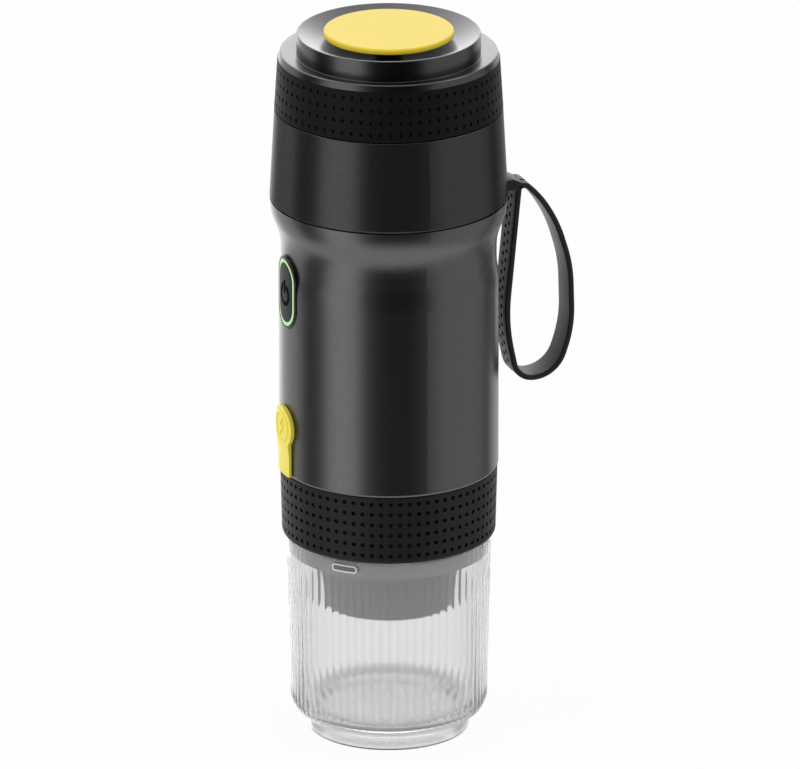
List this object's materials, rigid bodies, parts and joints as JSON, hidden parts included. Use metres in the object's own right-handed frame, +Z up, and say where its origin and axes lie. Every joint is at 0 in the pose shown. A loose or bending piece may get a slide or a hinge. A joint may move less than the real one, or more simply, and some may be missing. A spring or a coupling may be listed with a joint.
{
  "type": "portable espresso maker",
  "caption": "Hand-held battery espresso maker: tank under a screw lid, pump and cells in a waisted body, capsule chamber with grip band, clear fluted cup and a carrying strap.",
  "frame": {"origin": "centre of the cup's foot, on the table", "axes": "+Z up the axis of the maker, -Y towards the power button and charge flap, +Y towards the strap"},
  "size_m": [0.0748, 0.0982, 0.232],
  "materials": {
    "clear_plastic": "clear moulded, fluted",
    "band_rubber": "matte, dotted grip",
    "chamber_plastic": "matte dark grey",
    "nozzle_plastic": "matte mid grey",
    "clear_silicone": "soft translucent grey",
    "steel": "brushed",
    "body_grey": "satin metallic grey paint",
    "upper_black": "satin black grey",
    "black_plastic": "matte black",
    "frame_plastic": "matte light grey",
    "cell_wrap": "shrink wrapped",
    "copper_strip": "bare strip",
    "board_green": "solder mask",
    "heater_aluminium": "cast",
    "insulator_white": "fibre",
    "pump_plastic": "matte ivory",
    "light_green": "lit light guide",
    "key_grey": "satin dark grey",
    "yellow_silicone": "soft matte yellow",
    "yellow_plastic": "satin yellow",
    "strap_silicone": "matte, dotted"
  },
  "bodies": {
    "cup": {"cup": "clear_plastic"},
    "chamber": {"chamber_band": "band_rubber", "capsule_holder": "chamber_plastic", "capsule_basket": "chamber_plastic", "cup_grip_ring": "clear_silicone", "nozzle_cover": "nozzle_plastic", "pierce_plate": "steel"},
    "brew_seal": {"brew_gasket": "clear_silicone"},
    "housing": {"brew_head": "chamber_plastic", "brew_needle": "steel", "body_shell": "body_grey", "upper_shell": "upper_black", "tank_collar": "black_plastic", "water_tank": "steel", "heater_plate": "heater_aluminium", "heat_insulator": "insulator_white", "thermal_cutout": "heater_aluminium", "frame_base": "frame_plastic", "frame_top": "frame_plastic", "battery_cells": "cell_wrap", "cell_links": "copper_strip", "pump_body": "pump_plastic", "pump_cover": "pump_plastic", "shaft_seal": "clear_silicone", "idler_pin": "steel", "motor_can": "steel", "motor_end_cap": "black_plastic", "inlet_hose": "clear_silicone", "outlet_seal": "clear_silicone", "head_screws": "steel", "frame_screws": "steel", "pump_screws": "steel", "control_board": "board_green", "board_parts": "black_plastic", "usb_socket": "steel", "power_switch": "black_plastic", "button_bezel": "black_plastic", "light_ring": "light_green", "flap_anchor": "yellow_silicone", "strap_stub": "strap_silicone"},
    "lid_seal": {"lid_gasket": "clear_silicone"},
    "lid": {"lid_liner": "black_plastic", "lid_band": "band_rubber", "lid_cap": "upper_black", "vent_spring": "steel"},
    "vent": {"vent_button": "yellow_plastic", "vent_stem": "steel", "vent_valve": "clear_silicone"},
    "power_key": {"power_button": "key_grey", "switch_plunger": "black_plastic"},
    "flap": {"charge_flap": "yellow_silicone"},
    "strap": {"strap_loop": "strap_silicone"},
    "pump_drive": {"motor_shaft": "steel", "drive_gear": "pump_plastic"},
    "pump_idler": {"idler_gear": "pump_plastic"}
  },
  "joints": [
    {"name": "cup_lift", "type": "slide", "parent": "cup", "child": "chamber", "axis": [0, 0, 1], "range_m": [0, 0.05]},
    {"name": "body_rise", "type": "slide", "parent": "chamber", "child": "brew_seal", "axis": [0, 0, 1], "range_m": [0, 0.03]},
    {"name": "body_turn", "type": "hinge", "parent": "brew_seal", "child": "housing", "pos_m": [0, 0, 0.082], "axis": [0, 0, 1], "range_deg": [0, 360]},
    {"name": "lid_rise", "type": "slide", "parent": "housing", "child": "lid_seal", "axis": [0, 0, 1], "range_m": [0, 0.024]},
    {"name": "lid_turn", "type": "hinge", "parent": "lid_seal", "child": "lid", "pos_m": [0, 0, 0.215], "axis": [0, 0, 1], "range_deg": [0, 360]},
    {"name": "vent_press", "type": "slide", "parent": "lid", "child": "vent", "axis": [0, 0, -1], "range_m": [0, 0.0016], "stiffness_N_per_m": 500, "springref_m": -0.001, "deforming": ["vent_spring"]},
    {"name": "power_press", "type": "slide", "parent": "housing", "child": "power_key", "axis": [0, 1, 0], "range_m": [0, 0.0008], "stiffness_N_per_m": 800, "springref_m": -0.0006},
    {"name": "flap_swing", "type": "hinge", "parent": "housing", "child": "flap", "pos_m": [0, -0.03542, 0.0925], "axis": [1, 0, 0], "range_deg": [0, 100]},
    {"name": "strap_swing", "type": "hinge", "parent": "housing", "child": "strap", "pos_m": [0, 0.0401, 0.1769], "axis": [1, 0, 0], "range_deg": [0, 90]},
    {"name": "pump_spin", "type": "hinge", "parent": "housing", "child": "pump_drive", "pos_m": [0, -0.008, 0.12], "axis": [0, 0, 1], "continuous": true},
    {"name": "idler_spin", "type": "hinge", "parent": "housing", "child": "pump_idler", "pos_m": [0, 0.002, 0.105], "axis": [0, 0, 1], "continuous": true}
  ],
  "couplings": [
    {"joint": "body_rise", "follows": "body_turn", "m_per_rad": 0.004774},
    {"joint": "lid_rise", "follows": "lid_turn", "m_per_rad": 0.003819},
    {"joint": "idler_spin", "follows": "pump_spin", "ratio": -1}
  ]
}
